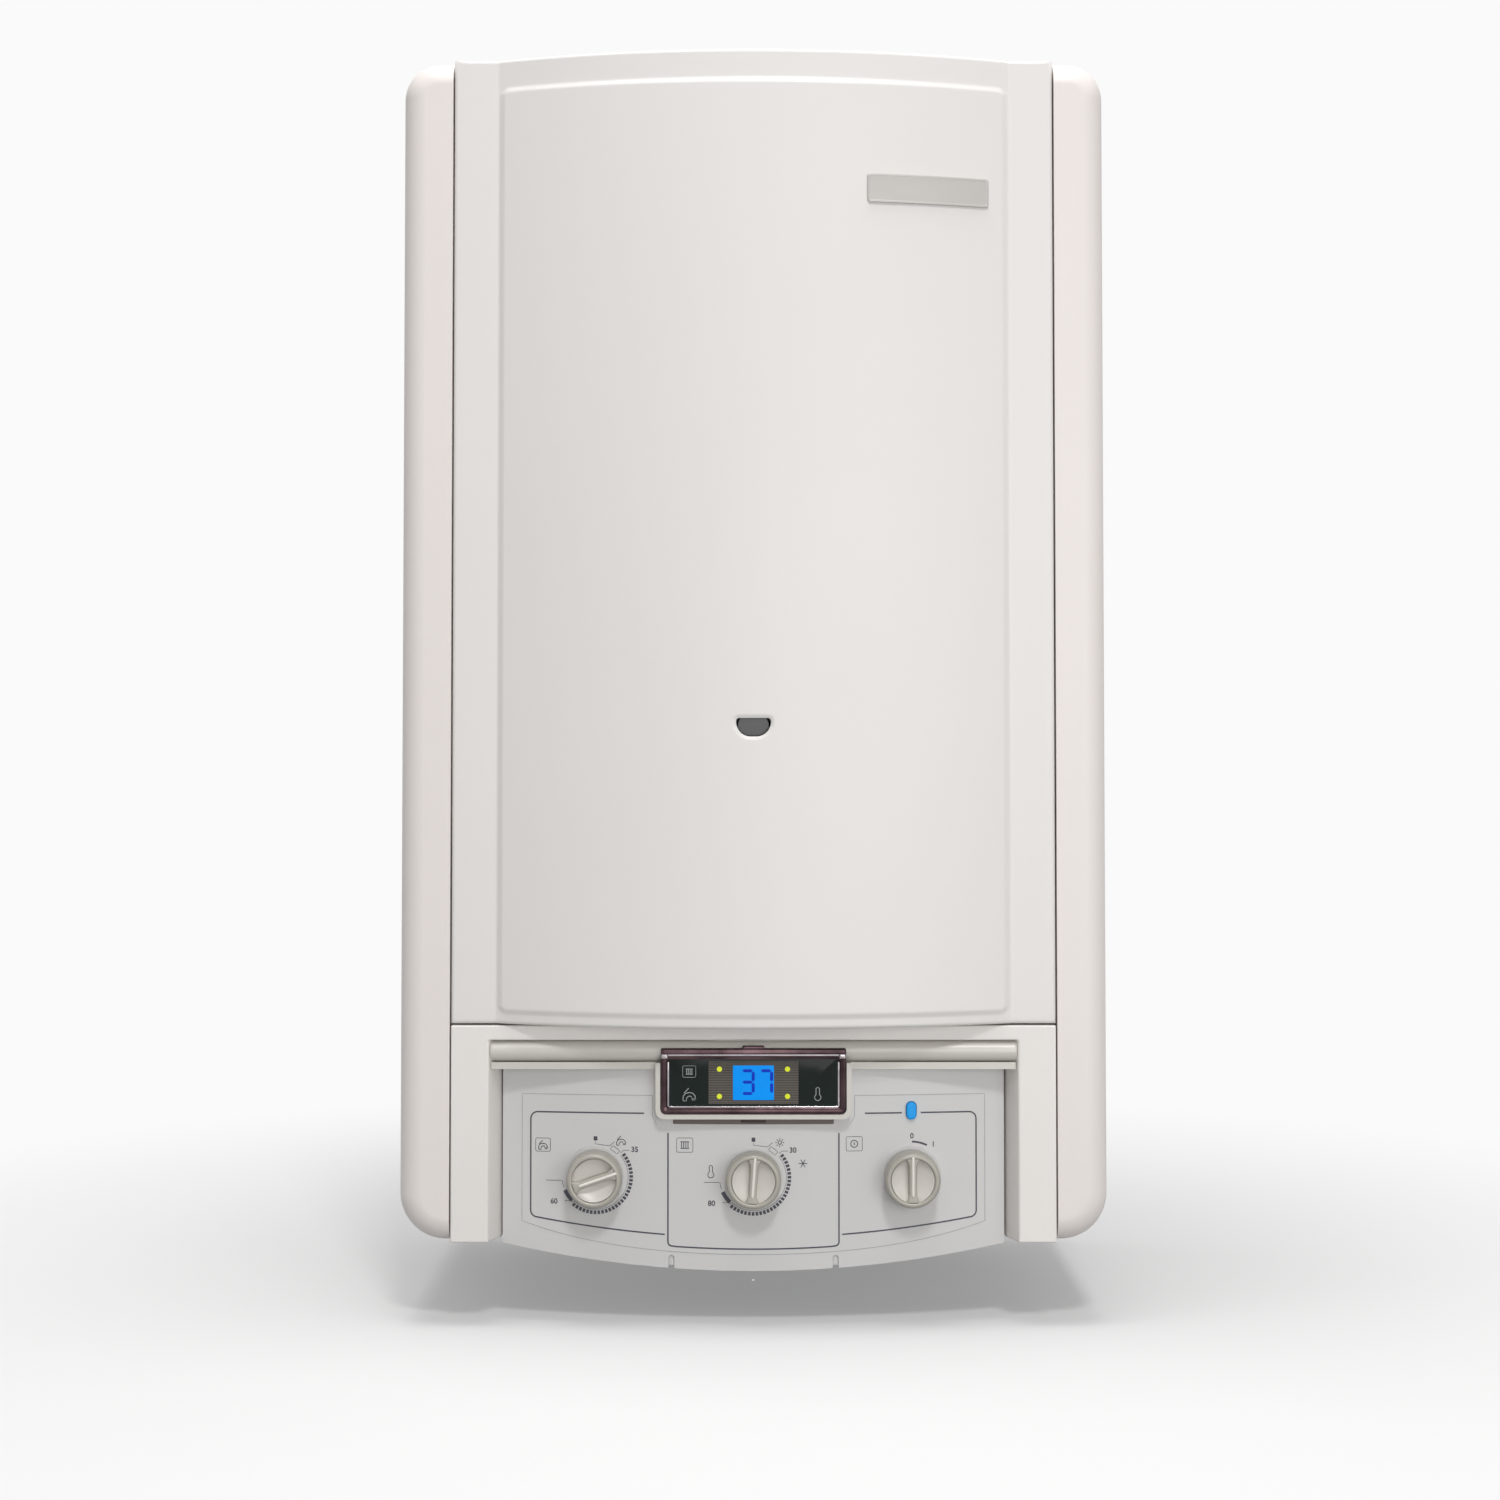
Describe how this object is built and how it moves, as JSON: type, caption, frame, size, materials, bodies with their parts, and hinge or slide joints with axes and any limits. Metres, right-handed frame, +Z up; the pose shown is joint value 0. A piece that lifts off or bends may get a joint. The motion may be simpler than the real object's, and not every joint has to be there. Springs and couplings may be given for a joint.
{
  "type": "combi boiler",
  "caption": "Wall-hung combi boiler: bowed lift-off door, fold-down control panel with dials and display, sealed burner chamber, fan, pump, heat exchangers and pipe tails.",
  "frame": {"origin": "middle of the back plate's rear face, where it lies on the wall", "axes": "+Z up, +X to the right as seen from the front, +Y into the wall; the front faces -Y"},
  "size_m": [0.41, 0.2796, 0.7335],
  "materials": {
    "door_enamel": "satin powder coat",
    "side_enamel": "satin powder coat",
    "fascia_plastic": "fine matt moulding",
    "panel_plastic": "fine matt moulding",
    "satin_silver": "satin silver lacquer",
    "badge_silver": "satin",
    "chrome": "plated, polished",
    "display_glass": "polished",
    "blue_plastic": "satin moulding",
    "black_plastic": "moulded",
    "red_plastic": "moulded",
    "galvanised_steel": "galvanised",
    "stainless_steel": "rolled",
    "copper": "drawn",
    "brass": "hot-stamped",
    "cast_aluminium": "as cast",
    "vessel_paint": "gloss paint",
    "circuit_green": "solder resist",
    "sight_glass": "clear"
  },
  "bodies": {
    "root": {"back_plate": "galvanised_steel", "left_hanger": "galvanised_steel", "right_hanger": "galvanised_steel", "left_side_panel": "side_enamel", "right_side_panel": "side_enamel", "left_hinge_bracket": "galvanised_steel", "right_hinge_bracket": "galvanised_steel", "bottom_plate": "galvanised_steel", "top_panel": "side_enamel", "flue_collar": "cast_aluminium", "fascia_frame": "fascia_plastic", "chamber_housing": "galvanised_steel", "chamber_cover": "galvanised_steel", "sight_glass": "sight_glass", "burner": "stainless_steel", "gas_manifold": "cast_aluminium", "combustion_chamber": "galvanised_steel", "heat_exchanger": "copper", "flue_hood": "galvanised_steel", "fan_housing": "cast_aluminium", "fan_motor": "black_plastic", "air_pressure_switch": "panel_plastic", "expansion_vessel": "vessel_paint", "heating_flow_tail": "copper", "hot_water_tail": "copper", "gas_tail": "copper", "cold_water_tail": "copper", "heating_return_tail": "copper", "flow_manifold": "brass", "return_manifold": "brass", "relief_valve": "brass", "plate_heat_exchanger": "stainless_steel", "pump_housing": "cast_aluminium", "pump_motor": "black_plastic", "diverter_motor": "black_plastic", "gas_valve": "cast_aluminium", "gas_pipe": "copper", "flow_pipe": "copper", "return_pipe": "copper"},
    "front_door": {"front_door": "door_enamel", "badge_plate": "badge_silver"},
    "control_panel": {"control_plate": "panel_plastic", "control_box": "panel_plastic", "panel_rail": "satin_silver", "display_hood": "fascia_plastic", "display_bezel": "chrome", "display_lens": "display_glass", "display_module": "black_plastic", "control_board": "circuit_green", "hot_water_switch": "black_plastic", "heating_switch": "black_plastic", "power_switch": "black_plastic"},
    "hot_water_knob": {"hot_water_knob": "satin_silver"},
    "heating_knob": {"heating_knob": "satin_silver"},
    "power_knob": {"power_knob": "satin_silver"},
    "reset_button": {"reset_button": "blue_plastic"},
    "fan_wheel": {"fan_impeller": "galvanised_steel"},
    "relief_knob": {"relief_knob": "red_plastic"},
    "filling_tap_handle": {"filling_tap_handle": "black_plastic"}
  },
  "joints": [
    {"name": "door_removal", "type": "slide", "parent": "root", "child": "front_door", "axis": [0, -1, 0], "range_m": [0, 0.12]},
    {"name": "panel_fold", "type": "hinge", "parent": "root", "child": "control_panel", "pos_m": [0, -0.1797, -0.331], "axis": [1, 0, 0], "range_deg": [0, 80]},
    {"name": "hot_water_turn", "type": "hinge", "parent": "control_panel", "child": "hot_water_knob", "pos_m": [-0.0915, -0.2437, -0.3064], "axis": [0, 1, 0], "range_deg": [-71, 191]},
    {"name": "heating_turn", "type": "hinge", "parent": "control_panel", "child": "heating_knob", "pos_m": [0, -0.2468, -0.3064], "axis": [0, 1, 0], "range_deg": [-4, 256]},
    {"name": "power_turn", "type": "hinge", "parent": "control_panel", "child": "power_knob", "pos_m": [0.0915, -0.2437, -0.3064], "axis": [0, 1, 0], "range_deg": [0, 30]},
    {"name": "reset_press", "type": "slide", "parent": "control_panel", "child": "reset_button", "axis": [0, 1, 0], "range_m": [0, 0.002], "stiffness_N_per_m": 600},
    {"name": "fan_spin", "type": "hinge", "parent": "root", "child": "fan_wheel", "pos_m": [-0.028, -0.131, 0.2417], "axis": [0, 1, 0], "continuous": true},
    {"name": "relief_turn", "type": "hinge", "parent": "root", "child": "relief_knob", "pos_m": [0.125, -0.1146, -0.2945], "axis": [0, 1, 0], "range_deg": [0, 90]},
    {"name": "filling_tap_turn", "type": "hinge", "parent": "root", "child": "filling_tap_handle", "pos_m": [-0.11, -0.1103, -0.2945], "axis": [0, 1, 0], "range_deg": [0, 180]}
  ]
}
